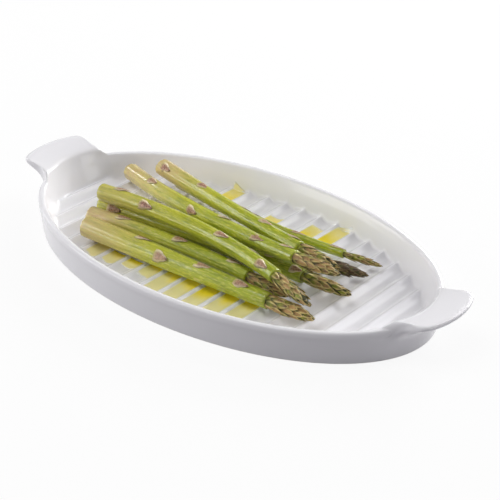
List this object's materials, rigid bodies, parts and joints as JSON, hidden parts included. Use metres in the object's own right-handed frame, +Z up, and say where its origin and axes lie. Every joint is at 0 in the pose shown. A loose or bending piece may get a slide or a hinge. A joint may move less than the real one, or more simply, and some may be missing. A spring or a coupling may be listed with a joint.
{
  "type": "asparagus plate",
  "caption": "Oval white porcelain serving dish with a ribbed floor and flared lug handles, laid with green asparagus spears in melted butter that lift out.",
  "frame": {"origin": "middle of the dish, on the surface that it stands on", "axes": "+X along the dish towards one handle, +Y across it, +Z up"},
  "size_m": [0.3384, 0.1716, 0.0355],
  "materials": {
    "porcelain": "white gloss glaze",
    "butter": "clear wet yellow",
    "stalk": "moist yellow-green skin",
    "bud": "overlapping green and purple-brown bracts",
    "scale_leaf": "thin dry purple-brown leaf"
  },
  "bodies": {
    "dish": {"dish": "porcelain", "butter_near": "butter", "butter_far": "butter"},
    "front_spear": {"front_stalk": "stalk", "front_bud": "bud", "front_scales": "scale_leaf"},
    "second_spear": {"second_stalk": "stalk", "second_bud": "bud", "second_scales": "scale_leaf"},
    "middle_spear": {"middle_stalk": "stalk", "middle_bud": "bud", "middle_scales": "scale_leaf"},
    "hidden_spear": {"hidden_stalk": "stalk", "hidden_bud": "bud", "hidden_scales": "scale_leaf"},
    "back_spear": {"back_stalk": "stalk", "back_bud": "bud", "back_scales": "scale_leaf"},
    "top_front_spear": {"top_front_stalk": "stalk", "top_front_bud": "bud", "top_front_scales": "scale_leaf"},
    "top_middle_spear": {"top_middle_stalk": "stalk", "top_middle_bud": "bud", "top_middle_scales": "scale_leaf"},
    "top_back_spear": {"top_back_stalk": "stalk", "top_back_bud": "bud", "top_back_scales": "scale_leaf"}
  },
  "joints": [
    {"name": "lift_middle", "type": "slide", "parent": "dish", "child": "middle_spear", "axis": [0, 0, 1], "range_m": [0, 0.06]},
    {"name": "lift_second", "type": "slide", "parent": "middle_spear", "child": "second_spear", "axis": [0, 0, 1], "range_m": [0, 0.06]},
    {"name": "lift_front", "type": "slide", "parent": "second_spear", "child": "front_spear", "axis": [0, 0, 1], "range_m": [0, 0.06]},
    {"name": "lift_top_front", "type": "slide", "parent": "front_spear", "child": "top_front_spear", "axis": [0, 0, 1], "range_m": [0, 0.06]},
    {"name": "lift_hidden", "type": "slide", "parent": "middle_spear", "child": "hidden_spear", "axis": [0, 0, 1], "range_m": [0, 0.06]},
    {"name": "lift_top_middle", "type": "slide", "parent": "hidden_spear", "child": "top_middle_spear", "axis": [0, 0, 1], "range_m": [0, 0.06]},
    {"name": "lift_back", "type": "slide", "parent": "hidden_spear", "child": "back_spear", "axis": [0, 0, 1], "range_m": [0, 0.06]},
    {"name": "lift_top_back", "type": "slide", "parent": "back_spear", "child": "top_back_spear", "axis": [0, 0, 1], "range_m": [0, 0.06]}
  ]
}
